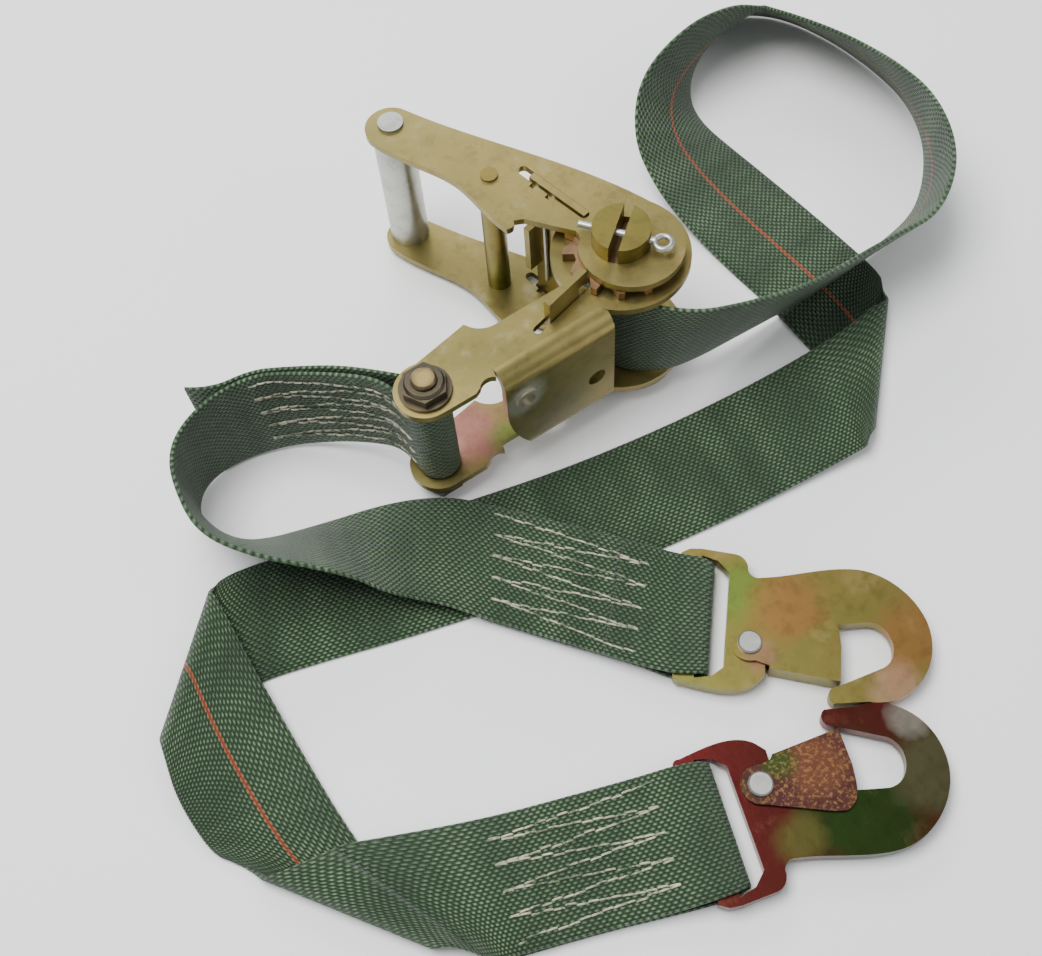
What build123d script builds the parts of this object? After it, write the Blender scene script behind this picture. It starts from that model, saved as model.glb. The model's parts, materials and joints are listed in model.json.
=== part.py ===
"""Ratchet tie down: a ratchet buckle on its side, a short and a long strap, and two snap hooks."""

from build123d import *
from math import cos, pi, radians, sin
import os

os.makedirs("parts", exist_ok=True)

# --- driving dimensions, millimetres -------------------------------------------------

WEBBING = 50.0  # strap width
WEBBING_T = 2.0  # strap thickness
GAP = 0.3  # running clearance between sliding faces

# the spindle's axis is vertical, and every plate of the buckle is drawn round it
SPINDLE = (40.3, -42.65)
MANDREL_R = 11.5
MANDREL_SLOT = 4.0  # slot between the two halves, where the webbing goes in
MANDREL_TURN = 38.0  # direction of that slot, degrees
RUN_R = 0.06  # radial clearance of the mandrel in its plates

# the stack of plates along the spindle, from the surface that it lies on
HEAD_T = 3.0
PLATE_T = 3.0
WHEEL_T = 4.0
CHANNEL = 52.0  # inside width of the base
MANDREL_OUT = 8.0  # mandrel above the upper handle plate

HANDLE_LOW = HEAD_T + GAP
WHEEL_LOW = HANDLE_LOW + PLATE_T + GAP
BASE_LOW = WHEEL_LOW + WHEEL_T + GAP
BASE_HIGH = BASE_LOW + PLATE_T + CHANNEL
WHEEL_HIGH = BASE_HIGH + PLATE_T + GAP
HANDLE_HIGH = WHEEL_HIGH + WHEEL_T + GAP
HANDLE_TOP = HANDLE_HIGH + PLATE_T
MANDREL_TOP = HANDLE_TOP + MANDREL_OUT
BASE_TOP = BASE_HIGH + PLATE_T
MIDDLE = (BASE_LOW + BASE_TOP) / 2

# base
BASE_END_R = 27.7
EAR = (-96.0, -9.0)
EAR_R = 12.3
FAR_EDGE = 0.5  # the straight far edge of the base plates
WEB_FACE = -24.0  # outer face of the web
BEND_R = 8.0
WEB_LEFT = -70.5
WEB_RIGHT = -20.0
STOP_TURN = 193.5  # direction of the stop pawl from the spindle
STOP_SLOT = (17.0, 50.0)
SLOT_SIDE = 0.3

# wheels
TOOTH_TIP = 23.0
TOOTH_ROOT = 18.6
TEETH = 13

# handle, drawn where it stands, open
HANDLE_END = (2.5, -3.5)
HANDLE_END_R = 21.0
GRIP = (-41.0, 104.0)
GRIP_END = (-42.0, 102.5)
GRIP_END_R = 10.5
SPACER = (-23.5, 57.0)
DRIVE_TURN = 102.2  # direction of the drive pawl from the spindle
DRIVE_SLOT = (17.3, 54.5)

# anchor bolt, M10
BOLT_R = 5.0
SLEEVE_R = 6.5

# hooks, in their own frame: rivet at the origin, nose along +X
HOOK_T = 5.0
HOOK_LOW = 3.0
GATE_T = 1.2
GATE_GAP = 0.3
HOOK_WEBBING_Y = 9.7  # middle of the webbing on that bar

# more dimensions of the small pieces
RIM_HOLE = (-61.5, 50.0)  # along the web, and up from the surface
RIM_HOLE_R = 3.3
RIM_HEIGHT = 1.0
PLAIN_HOLE = (-28.5, 35.0)
PLAIN_HOLE_R = 4.0
CORNER_TOP = 44.0  # the web's cut corner: where it starts on the web's left edge
CORNER_MIDDLE = (-68.0, 30.5)
CORNER_FOOT = (-60.4, 15.6)
SEAT_X = -58.5  # the tab for the stop pawl's spring
SEAT_Y = -8.0
SEAT_H = 14.0
BOLT_HEX = 16.0
BOLT_HEAD = 6.4
BOLT_END = 77.6
FLANGE_R = 10.2
FLANGE_T = 2.0
NUT_FLANGE_T = 1.6
NUT_HEX_T = 3.6
NUT_CROWN_T = 1.6
NUT_CROWN_TAPER = 25
STOP_NOSE = 21.6
STOP_OFF_WHEEL = 26.3
STOP_BACK = 42.8
STOP_LOW = 0.6
STOP_HIGH = 80.0
STOP_SPRING = 12.0
SPRING_R = 3.4
SPRING_WIRE = 0.9
MANDREL_HEAD_R = 13.5
COTTER_R = 1.5
COTTER_EYE_R = 3.2
COTTER_EYE_AT = 13.5
COTTER_LEG_AT = 17.0
WOUND_R = 15.2
GRIP_RIVET_R = 4.0
GRIP_HEAD_R = 5.3
GRIP_TUBE_R = 8.5
RIVET_HEAD = 1.1
SPACER_R = 5.0
SPACER_END_R = 3.6
DRIVE_TAB = (18.0, 47.6)
DRIVE_BODY = (31.0, 46.0)
DRIVE_NOSE = 23.4
TAB_OUT = 1.0
LIP_OUT = 8.0
LIP_Z = (27.0, 53.0)
GATE_PIN_R = 3.5
GATE_HEAD_R = 4.6
COTTER_PLAY = 0.15
WHEEL_PLAY = 0.03  # the wheels are pressed on the mandrel's halves
TOOTH_CREST = 0.22  # shares of a tooth's pitch: its crest ends here
TOOTH_FOOT = (0.30, 0.62)  # and its foot runs from here to here
WOUND_PLAY = 0.1
CAM_FROM, CAM_TO = 28, 149  # directions where the handle's cam end starts and stops
DRIVE_SLOT_SIDE = 0.7
NOTCHES = (35.5, 44.0)  # along the drive pawl's slot
NOTCH = (2.2, 2.6)
NOTCH_OFF = 3.0
GRIP_TUBE_WALL = 1.6
SPACER_OUT = 1.0
DRIVE_STEP = 2.0
HAIRPIN_R = 0.9
HAIRPIN_AT = (7.0, 1.2)
HAIRPIN_OUT = 8.0


def at_spindle(z, turn=0.0):
    """A level plane with its origin on the spindle's axis."""
    plane = Plane(origin=(SPINDLE[0], SPINDLE[1], z), z_dir=(0, 0, 1))
    return plane.rotated((0, 0, turn))


def radial_plane(turn):
    """An upright plane through the spindle's axis: X runs outwards, Y runs up."""
    outward = (cos(radians(turn)), sin(radians(turn)), 0)
    sideways = (sin(radians(turn)), -cos(radians(turn)), 0)
    return Plane(origin=(SPINDLE[0], SPINDLE[1], 0), x_dir=outward, z_dir=sideways)


def save(piece, name):
    """Labels a finished piece and writes its STEP file."""
    piece.part.label = name
    export_step(piece.part, f"parts/{name}.step")


# --- base frame ----------------------------------------------------------------------


def base_outline():
    """The outline of a base plate, up to where the web's bend starts."""
    bend = WEB_FACE + BEND_R
    with BuildSketch(mode=Mode.PRIVATE) as outline:
        with BuildLine():
            Polyline((-93.0, EAR[1] + EAR_R - 0.4), (-68.5, 7.4), (-67.3, 5.2))
            ThreePointArc((-67.3, 5.2), (-63.5, 1.7), (-57.5, FAR_EDGE))
            Polyline(
                (-57.5, FAR_EDGE),
                (0, FAR_EDGE),
                (0, bend),
                (WEB_LEFT, bend),
                (WEB_LEFT - 1.0, -19.6),
            )
            ThreePointArc((WEB_LEFT - 1.0, -19.6), (-74.5, -18.2), (-79.0, -20.2))
            Polyline((-79.0, -20.2), (-81.5, -21.4), (-96.0, EAR[1] - EAR_R))
            Line((-96.0, EAR[1] - EAR_R), (-93.0, EAR[1] + EAR_R - 0.4))
        make_face()
        with Locations(EAR):
            Circle(EAR_R)
        Circle(BASE_END_R)
    return outline.sketch


def slot_sketch(inner, outer, width):
    """A round-ended radial slot from one radius to another, along +X."""
    with BuildSketch(mode=Mode.PRIVATE) as slot:
        with Locations(((inner + outer) / 2, 0)):
            SlotOverall(outer - inner, width)
    return slot.sketch


with BuildPart() as base_frame:
    for low in (BASE_LOW, BASE_HIGH):
        with BuildSketch(at_spindle(low)):
            add(base_outline())
        extrude(amount=PLATE_T)
    # the web and its two bends, one section pushed along X
    web_plane = Plane(
        origin=(SPINDLE[0] + WEB_LEFT, SPINDLE[1], 0), x_dir=(0, 1, 0), z_dir=(1, 0, 0)
    )
    with BuildSketch(web_plane):
        bend_start = WEB_FACE + BEND_R
        with BuildLine():
            low_out = Line((bend_start, BASE_LOW), (bend_start, BASE_LOW + PLATE_T))
            RadiusArc(low_out @ 1, (WEB_FACE + PLATE_T, BASE_LOW + BEND_R), BEND_R - PLATE_T)
            Line((WEB_FACE + PLATE_T, BASE_LOW + BEND_R), (WEB_FACE + PLATE_T, BASE_TOP - BEND_R))
            RadiusArc(
                (WEB_FACE + PLATE_T, BASE_TOP - BEND_R),
                (bend_start, BASE_HIGH),
                BEND_R - PLATE_T,
            )
            Line((bend_start, BASE_HIGH), (bend_start, BASE_TOP))
            RadiusArc((bend_start, BASE_TOP), (WEB_FACE, BASE_TOP - BEND_R), -BEND_R)
            Line((WEB_FACE, BASE_TOP - BEND_R), (WEB_FACE, BASE_LOW + BEND_R))
            RadiusArc((WEB_FACE, BASE_LOW + BEND_R), low_out @ 0, -BEND_R)
        make_face()
    extrude(amount=WEB_RIGHT - WEB_LEFT)
    # bores, pawl slots and the two holes of the web
    for low in (BASE_LOW, BASE_HIGH):
        with BuildSketch(at_spindle(low)):
            Circle(MANDREL_R + RUN_R)
            with Locations(EAR):
                Circle(BOLT_R + RUN_R)
        extrude(amount=PLATE_T, mode=Mode.SUBTRACT)
        with BuildSketch(at_spindle(low, STOP_TURN)):
            add(slot_sketch(*STOP_SLOT, PLATE_T + 2 * SLOT_SIDE))
        extrude(amount=PLATE_T, mode=Mode.SUBTRACT)
    web_outside = Plane(
        origin=(SPINDLE[0], SPINDLE[1] + WEB_FACE, 0), x_dir=(1, 0, 0), z_dir=(0, -1, 0)
    )
    with BuildSketch(web_outside):
        with Locations(RIM_HOLE):
            Circle(RIM_HOLE_R + 2.0)
    extrude(amount=RIM_HEIGHT)
    with BuildSketch(web_outside.offset(RIM_HEIGHT)):
        with Locations(RIM_HOLE):
            Circle(RIM_HOLE_R)
        with Locations(PLAIN_HOLE):
            Circle(PLAIN_HOLE_R)
    extrude(amount=-(PLATE_T + RIM_HEIGHT + 1), mode=Mode.SUBTRACT)
    # the web's lower left corner is cut away in a curve
    with BuildSketch(web_outside):
        with BuildLine():
            ThreePointArc((WEB_LEFT, CORNER_TOP), CORNER_MIDDLE, CORNER_FOOT)
            Polyline(
                CORNER_FOOT,
                (CORNER_FOOT[0], BASE_LOW),
                (WEB_LEFT, BASE_LOW),
                (WEB_LEFT, CORNER_TOP),
            )
        make_face()
    extrude(amount=-BEND_R, mode=Mode.SUBTRACT)
    # a tab bent in from the web carries the stop pawl's spring
    with BuildSketch(at_spindle(MIDDLE - SEAT_H / 2)):
        with Locations((SEAT_X, (WEB_FACE + PLATE_T + SEAT_Y) / 2)):
            Rectangle(PLATE_T, SEAT_Y - WEB_FACE - PLATE_T)
    extrude(amount=SEAT_H)
save(base_frame, "base_frame")


# --- anchor bolt, washer, nut and sleeve ---------------------------------------------


def at_ear(z):
    """A level plane with its origin on the anchor bolt's axis."""
    return Plane(origin=(SPINDLE[0] + EAR[0], SPINDLE[1] + EAR[1], z), z_dir=(0, 0, 1))


with BuildPart() as anchor_bolt:
    with BuildSketch(at_ear(0)):
        RegularPolygon(BOLT_HEX / 2, 6, major_radius=False)
    extrude(amount=BOLT_HEAD)
    chamfer(anchor_bolt.faces().sort_by(Axis.Z)[0].edges(), 1.0)
    with BuildSketch(at_ear(BOLT_HEAD)):
        Circle(FLANGE_R)
    extrude(amount=FLANGE_T)
    with BuildSketch(at_ear(BOLT_HEAD + FLANGE_T)):
        Circle(BOLT_R)
    extrude(amount=BOLT_END - BOLT_HEAD - FLANGE_T)
    chamfer(anchor_bolt.faces().sort_by(Axis.Z)[-1].edges(), 0.8)
save(anchor_bolt, "anchor_bolt")

with BuildPart() as anchor_washer:
    with BuildSketch(at_ear(BOLT_HEAD + FLANGE_T)):
        Circle(FLANGE_R + 0.6)
        Circle(BOLT_R + RUN_R, mode=Mode.SUBTRACT)
    extrude(amount=BASE_LOW - BOLT_HEAD - FLANGE_T)
save(anchor_washer, "anchor_washer")

with BuildPart() as anchor_nut:
    with BuildSketch(at_ear(BASE_TOP)):
        Circle(FLANGE_R)
    extrude(amount=NUT_FLANGE_T)
    with BuildSketch(at_ear(BASE_TOP + NUT_FLANGE_T)):
        RegularPolygon(BOLT_HEX / 2, 6, major_radius=False)
    extrude(amount=NUT_HEX_T)
    with BuildSketch(at_ear(BASE_TOP + NUT_FLANGE_T + NUT_HEX_T)):
        Circle(BOLT_HEX / 2 - 0.2)
    extrude(amount=NUT_CROWN_T, taper=NUT_CROWN_TAPER)
    with BuildSketch(at_ear(BASE_TOP)):
        Circle(BOLT_R + RUN_R)
    extrude(amount=NUT_FLANGE_T + NUT_HEX_T + NUT_CROWN_T, mode=Mode.SUBTRACT)
save(anchor_nut, "anchor_nut")

with BuildPart() as anchor_sleeve:
    with BuildSketch(at_ear(BASE_LOW + PLATE_T)):
        Circle(SLEEVE_R)
        Circle(BOLT_R + RUN_R, mode=Mode.SUBTRACT)
    extrude(amount=CHANNEL)
save(anchor_sleeve, "anchor_sleeve")


# --- stop pawl -----------------------------------------------------------------------

with BuildPart() as stop_pawl:
    with BuildSketch(radial_plane(STOP_TURN)):
        with BuildLine():
            Polyline(
                (STOP_NOSE, STOP_LOW),
                (STOP_BACK, STOP_LOW),
                (STOP_BACK, STOP_HIGH),
                (STOP_NOSE, STOP_HIGH),
                (STOP_NOSE, HANDLE_HIGH),
                (STOP_OFF_WHEEL, HANDLE_HIGH),
                (STOP_OFF_WHEEL, BASE_TOP),
                (STOP_NOSE, BASE_TOP),
                (STOP_NOSE, BASE_LOW),
                (STOP_OFF_WHEEL, BASE_LOW),
                (STOP_OFF_WHEEL, WHEEL_LOW - GAP),
                (STOP_NOSE, WHEEL_LOW - GAP),
                close=True,
            )
        make_face()
    extrude(amount=PLATE_T / 2, both=True)
save(stop_pawl, "stop_pawl")


def coil(plane, length, radius, wire, turns):
    """A coil spring that stands on a plane and runs along the plane's Z."""
    axis = plane.z_dir
    turn = Helix(
        pitch=(length - wire) / turns,
        height=length - wire,
        radius=radius,
        center=tuple(plane.origin),
        direction=tuple(axis),
    )
    with BuildPart() as spring:
        with BuildSketch(Plane(origin=turn @ 0, z_dir=turn % 0)):
            Circle(wire / 2)
        sweep(path=turn, is_frenet=True)
    return spring


stop_out = (cos(radians(STOP_TURN)), sin(radians(STOP_TURN)), 0)
spring_start = STOP_BACK + SPRING_WIRE / 2 + 0.1
spring_plane = Plane(
    origin=(
        SPINDLE[0] + spring_start * stop_out[0],
        SPINDLE[1] + spring_start * stop_out[1],
        MIDDLE,
    ),
    z_dir=stop_out,
)
stop_pawl_spring = coil(spring_plane, STOP_SPRING, SPRING_R, SPRING_WIRE, 7)
save(stop_pawl_spring, "stop_pawl_spring")


# --- spindle: two half-round shafts, wheels, cotter pin, wound webbing -----------------


def half_disc(radius, side):
    """Half a disc, on one side of the mandrel's slot."""
    with BuildSketch(mode=Mode.PRIVATE) as half:
        Circle(radius)
        with Locations((0, -side * radius)):
            Rectangle(2 * radius, 2 * radius + MANDREL_SLOT, mode=Mode.SUBTRACT)
    return half.sketch


COTTER_Z = HANDLE_TOP + MANDREL_OUT / 2
cotter_across = radial_plane(MANDREL_TURN + 90)

for name, side in (("mandrel_half_back", 1), ("mandrel_half_front", -1)):
    with BuildPart() as mandrel_half:
        with BuildSketch(at_spindle(0, MANDREL_TURN)):
            add(half_disc(MANDREL_HEAD_R, side))
        extrude(amount=HEAD_T)
        with BuildSketch(at_spindle(HEAD_T, MANDREL_TURN)):
            add(half_disc(MANDREL_R, side))
        extrude(amount=MANDREL_TOP - HEAD_T)
        with BuildSketch(Plane(origin=(*SPINDLE, COTTER_Z), z_dir=cotter_across.x_dir)):
            Circle(COTTER_R + COTTER_PLAY)
        extrude(amount=MANDREL_R + 2, both=True, mode=Mode.SUBTRACT)
    save(mandrel_half, name)


def wheel_sketch():
    """The toothed wheel: saw teeth, and two half-round holes for the mandrel."""
    step = 2 * pi / TEETH
    crest = TOOTH_CREST * step
    foot = [share * step for share in TOOTH_FOOT]
    points = []
    for tooth in range(TEETH):
        a = tooth * step
        points += [
            (TOOTH_TIP * cos(a), TOOTH_TIP * sin(a)),
            (TOOTH_TIP * cos(a + crest), TOOTH_TIP * sin(a + crest)),
            (TOOTH_ROOT * cos(a + foot[0]), TOOTH_ROOT * sin(a + foot[0])),
            (TOOTH_ROOT * cos(a + foot[1]), TOOTH_ROOT * sin(a + foot[1])),
        ]
    with BuildSketch(mode=Mode.PRIVATE) as wheel:
        Polygon(*points, align=None)
        for side in (1, -1):
            add(half_disc(MANDREL_R + WHEEL_PLAY, side), mode=Mode.SUBTRACT)
    return wheel.sketch


for name, low in (("upper_ratchet_wheel", WHEEL_HIGH), ("lower_ratchet_wheel", WHEEL_LOW)):
    with BuildPart() as wheel:
        with BuildSketch(at_spindle(low, MANDREL_TURN)):
            add(wheel_sketch())
        extrude(amount=WHEEL_T)
    save(wheel, name)

with BuildPart() as cotter_pin:
    across = Plane(
        origin=(*SPINDLE, COTTER_Z), x_dir=(0, 0, 1), z_dir=cotter_across.x_dir
    )
    with BuildSketch(across.offset(-COTTER_EYE_AT)):
        Circle(COTTER_R)
    extrude(amount=COTTER_EYE_AT + COTTER_LEG_AT)
    with Locations(across.offset(-COTTER_EYE_AT - COTTER_EYE_R)):
        Torus(COTTER_EYE_R, COTTER_R * 0.8, rotation=(0, 90, 0))
save(cotter_pin, "cotter_pin")

with BuildPart() as wound_webbing:
    with BuildSketch(at_spindle(MIDDLE - WEBBING / 2, MANDREL_TURN)):
        Circle(WOUND_R)
        Circle(MANDREL_R + WOUND_PLAY, mode=Mode.SUBTRACT)
        Rectangle(2 * MANDREL_R + WEBBING_T / 2, WEBBING_T)
    extrude(amount=WEBBING)
save(wound_webbing, "wound_webbing")


# --- handle --------------------------------------------------------------------------


def handle_outline():
    """The outline of a handle plate, open, with its cam end, notches and slot."""
    start = radians(CAM_FROM)
    cam_start = (
        HANDLE_END[0] + HANDLE_END_R * cos(start),
        HANDLE_END[1] + HANDLE_END_R * sin(start),
    )
    stop = radians(CAM_TO)
    cam_stop = (
        HANDLE_END[0] + HANDLE_END_R * cos(stop),
        HANDLE_END[1] + HANDLE_END_R * sin(stop),
    )
    bottom = (HANDLE_END[0], HANDLE_END[1] - HANDLE_END_R)
    grip_left = (GRIP_END[0] - GRIP_END_R, GRIP_END[1] - 1.5)
    grip_right = (GRIP_END[0] + GRIP_END_R * 0.9, GRIP_END[1] + GRIP_END_R * 0.44)
    with BuildSketch(mode=Mode.PRIVATE) as outline:
        with BuildLine():
            ThreePointArc(cam_start, bottom, cam_stop)
            ThreePointArc(cam_stop, (-12.6, 9.6), (-11.6, 13.9))
            Polyline((-11.6, 13.9), (-24.6, 30.6), (-26.2, 31.4), (-28.4, 32.4))
            ThreePointArc((-28.4, 32.4), (-29.8, 30.3), (-32.8, 30.4))
            Spline((-32.8, 30.4), (-35.0, 46.5), (-36.4, 61.5), (-43.5, 78.8), grip_left)
            ThreePointArc(grip_left, (GRIP_END[0] - 0.6, GRIP_END[1] + GRIP_END_R), grip_right)
            Spline(grip_right, (-1.0, 52.0), (15.6, 20.5), cam_start)
        make_face()
    return outline.sketch


def handle_plate(low):
    """One side plate of the handle, with its bores and the drive pawl's slot."""
    with BuildPart() as plate:
        with BuildSketch(at_spindle(low)):
            add(handle_outline())
            Circle(MANDREL_R + RUN_R, mode=Mode.SUBTRACT)
            with Locations(GRIP):
                Circle(GRIP_RIVET_R, mode=Mode.SUBTRACT)
            with Locations(SPACER):
                Circle(SPACER_END_R, mode=Mode.SUBTRACT)
        extrude(amount=PLATE_T)
        with BuildSketch(at_spindle(low, DRIVE_TURN)):
            add(slot_sketch(*DRIVE_SLOT, PLATE_T + 2 * DRIVE_SLOT_SIDE))
            for notch_at in NOTCHES:
                with Locations((notch_at, NOTCH_OFF)):
                    Rectangle(*NOTCH)
        extrude(amount=PLATE_T, mode=Mode.SUBTRACT)
    return plate


for name, low in (("upper_handle_plate", HANDLE_HIGH), ("lower_handle_plate", HANDLE_LOW)):
    save(handle_plate(low), name)

INSIDE = HANDLE_HIGH - HANDLE_LOW - PLATE_T

with BuildPart() as grip_tube:
    grip_centre = Plane(
        origin=(SPINDLE[0] + GRIP[0], SPINDLE[1] + GRIP[1], HANDLE_LOW + PLATE_T)
    )
    with BuildSketch(grip_centre):
        Circle(GRIP_TUBE_R)
        Circle(GRIP_TUBE_R - GRIP_TUBE_WALL, mode=Mode.SUBTRACT)
    extrude(amount=INSIDE)
save(grip_tube, "grip_tube")

with BuildPart() as grip_rivet:
    with BuildSketch(grip_centre.offset(-PLATE_T)):
        Circle(GRIP_RIVET_R)
    extrude(amount=INSIDE + 2 * PLATE_T)
    for end in (-PLATE_T - RIVET_HEAD, INSIDE + PLATE_T):
        with BuildSketch(grip_centre.offset(end)):
            Circle(GRIP_HEAD_R)
        extrude(amount=RIVET_HEAD)
save(grip_rivet, "grip_rivet")

with BuildPart() as spacer_bar:
    spacer_centre = Plane(
        origin=(SPINDLE[0] + SPACER[0], SPINDLE[1] + SPACER[1], HANDLE_LOW + PLATE_T)
    )
    with BuildSketch(spacer_centre):
        Circle(SPACER_R)
    extrude(amount=INSIDE)
    with BuildSketch(spacer_centre.offset(-PLATE_T - SPACER_OUT)):
        Circle(SPACER_END_R)
    extrude(amount=INSIDE + 2 * PLATE_T + 2 * SPACER_OUT)
save(spacer_bar, "spacer_bar")

with BuildPart() as drive_pawl:
    with BuildSketch(radial_plane(DRIVE_TURN)):
        with BuildLine():
            Polyline(
                (DRIVE_TAB[0], HANDLE_HIGH),
                (DRIVE_TAB[0], HANDLE_TOP + TAB_OUT),
                (DRIVE_TAB[1], HANDLE_TOP + TAB_OUT),
                (DRIVE_TAB[1], HANDLE_HIGH),
                (DRIVE_BODY[1], HANDLE_HIGH - DRIVE_STEP),
                (DRIVE_BODY[1], HANDLE_LOW + PLATE_T + DRIVE_STEP),
                (DRIVE_TAB[1], HANDLE_LOW + PLATE_T),
                (DRIVE_TAB[1], HANDLE_LOW - TAB_OUT),
                (DRIVE_TAB[0], HANDLE_LOW - TAB_OUT),
                (DRIVE_TAB[0], HANDLE_LOW + PLATE_T),
                (DRIVE_NOSE, HANDLE_LOW + PLATE_T),
                (DRIVE_NOSE, WHEEL_LOW + WHEEL_T),
                (DRIVE_BODY[0], WHEEL_LOW + WHEEL_T),
                (DRIVE_BODY[0], WHEEL_HIGH),
                (DRIVE_NOSE, WHEEL_HIGH),
                (DRIVE_NOSE, HANDLE_HIGH),
                close=True,
            )
        make_face()
    extrude(amount=PLATE_T / 2, both=True)
    # the lip that a finger pulls
    with BuildSketch(at_spindle(LIP_Z[0], DRIVE_TURN)):
        with Locations((DRIVE_BODY[1] - PLATE_T / 2, LIP_OUT / 2)):
            Rectangle(PLATE_T, LIP_OUT)
    extrude(amount=LIP_Z[1] - LIP_Z[0])
save(drive_pawl, "drive_pawl")

# a hairpin of spring wire lies in the corner between the drive pawl and its lip
with BuildPart() as drive_pawl_spring:
    with BuildSketch(at_spindle(LIP_Z[0] - HAIRPIN_OUT, DRIVE_TURN)):
        with Locations((DRIVE_BODY[1] - HAIRPIN_AT[0], PLATE_T / 2 + HAIRPIN_AT[1])):
            Circle(HAIRPIN_R)
    extrude(amount=LIP_Z[1] - LIP_Z[0] + 2 * HAIRPIN_OUT)
save(drive_pawl_spring, "drive_pawl_spring")


# --- hooks ---------------------------------------------------------------------------


class HookFrame:
    """Where a hook lies: its rivet, the turn of its axis, and its handedness."""

    def __init__(self, rivet, turn, side):
        self.rivet = (SPINDLE[0] + rivet[0], SPINDLE[1] + rivet[1])
        self.turn = turn
        self.side = side

    def plane(self, z):
        return Plane(origin=(*self.rivet, z)).rotated((0, 0, self.turn))

    def at(self, *points):
        """Hook points, mirrored where the hook lies on its other face."""
        return [(x, self.side * y) for x, y in points]


HOOKS = {
    "hook_1": HookFrame((-41.3, -141.2), -40.9, 1),
    "hook_2": HookFrame((-72.1, -186.3), -18.9, -1),
}


def hook_sketch(hook):
    """The flat hook: two arms and a bar for the strap, a body, and the bow."""
    at = hook.at
    with BuildSketch(mode=Mode.PRIVATE) as outline:
        with BuildLine():
            Polyline(*at((-28, -15.5), (-28, 36.0), (-24.6, 38.0), (-20.0, 38.3), (-7.0, 37.2)))
            ThreePointArc(*at((-7.0, 37.2), (-2.9, 34.8), (-1.8, 31.0)))
            ThreePointArc(*at((-1.8, 31.0), (-0.2, 28.6), (3.3, 28.0)))
            Spline(*at((3.3, 28.0), (14.1, 30.2), (33.6, 34.7), (42.5, 34.9), (55.0, 29.8), (64.5, 19.5)))
            Spline(*at((64.5, 19.5), (68.2, 7.0), (64.9, -7.0), (56.5, -15.6), (44.7, -18.4)))
            Polyline(*at((44.7, -18.4), (32.2, -20.5)))
            ThreePointArc(*at((32.2, -20.5), (30.2, -18.3), (31.2, -14.6)))
            Polyline(*at((31.2, -14.6), (36.1, -12.2), (50.3, -4.4)))
            Spline(*at((50.3, -4.4), (53.9, 3.0), (50.6, 11.0), (43.2, 13.2)))
            Polyline(*at((43.2, 13.2), (33.5, 11.2), (16.0, 6.5), (8.0, 1.6)))
            ThreePointArc(*at((8.0, 1.6), (7.9, -2.0), (6.2, -5.2)))
            Polyline(*at((6.2, -5.2), (6.4, -11.9), (3.3, -15.5)))
            Spline(*at((3.3, -15.5), (-2.3, -18.4), (-8.2, -19.2), (-18.6, -18.3), (-25.2, -17.2)))
            ThreePointArc(*at((-25.2, -17.2), (-27.3, -16.8), (-28, -15.5)))
        make_face()
        with BuildLine():
            left = at((-8.8, 28.8), (-13.5, 33.6), (-20.0, 35.4))
            right = at((-20.0, -15.6), (-13.5, -14.2), (-9.1, -10.2))
            Polyline(*left, *right, close=True)
        make_face(mode=Mode.SUBTRACT)
    return outline.sketch


GATE_EDGE = ((7.8, -8.2), (34.2, -10.9))  # the fold's inner side


def gate_leaf(hook):
    """One leaf of the folded gate, from the rivet's lobe to its free end."""
    with BuildSketch(mode=Mode.PRIVATE) as leaf:
        with BuildLine():
            Polyline(*hook.at((-1.5, 7.1), (22.1, 16.3), (26.0, 17.2)))
            Spline(*hook.at((26.0, 17.2), (30.0, 15.4), (32.7, 10.5), (34.2, 2.0)))
            Polyline(*hook.at((34.2, 2.0), GATE_EDGE[1], GATE_EDGE[0], (2.4, -6.8), (-1.5, 7.1)))
        make_face()
        Circle(7.25)
        Circle(GATE_PIN_R + RUN_R, mode=Mode.SUBTRACT)
    return leaf.sketch


def make_hook(name, hook):
    """The hook plate, its gate, the gate's rivet and the gate's leaf spring."""
    with BuildPart() as plate:
        with BuildSketch(hook.plane(HOOK_LOW)):
            add(hook_sketch(hook))
            Circle(GATE_PIN_R, mode=Mode.SUBTRACT)
        extrude(amount=HOOK_T)
    save(plate, name)

    leaf_low = HOOK_LOW - GATE_GAP - GATE_T
    leaf_high = HOOK_LOW + HOOK_T + GATE_GAP
    with BuildPart() as gate:
        for low in (leaf_low, leaf_high):
            with BuildSketch(hook.plane(low)):
                add(gate_leaf(hook))
            extrude(amount=GATE_T)
        (x0, y0), (x1, y1) = GATE_EDGE
        with BuildSketch(hook.plane(leaf_low)):
            with BuildLine():
                Polyline(
                    *hook.at((x0, y0), (x1, y1), (x1, y1 - GATE_T), (x0, y0 - GATE_T)),
                    close=True,
                )
            make_face()
        extrude(amount=leaf_high + GATE_T - leaf_low)
    save(gate, f"{name}_gate")

    with BuildPart() as rivet:
        with BuildSketch(hook.plane(0)):
            Circle(GATE_HEAD_R)
        extrude(amount=leaf_low - 0.1)
        with BuildSketch(hook.plane(0)):
            Circle(GATE_PIN_R)
        extrude(amount=leaf_high + GATE_T + 0.1)
        with BuildSketch(hook.plane(leaf_high + GATE_T + 0.1)):
            Circle(GATE_HEAD_R)
        extrude(amount=1.4)
        chamfer(rivet.faces().sort_by(Axis.Z)[-1].edges(), 0.6)
    save(rivet, f"{name}_rivet")

    with BuildPart() as leaf_spring:
        with BuildSketch(hook.plane(HOOK_LOW + 0.6)):
            with BuildLine():
                ThreePointArc(*hook.at((11.0, -7.6), (17.0, -4.8), (25.0, -5.6)))
                offset(amount=0.35)
            make_face()
        extrude(amount=HOOK_T - 1.2)
    save(leaf_spring, f"{name}_gate_spring")


for hook_name, hook_frame in HOOKS.items():
    make_hook(hook_name, hook_frame)


# --- straps --------------------------------------------------------------------------

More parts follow.
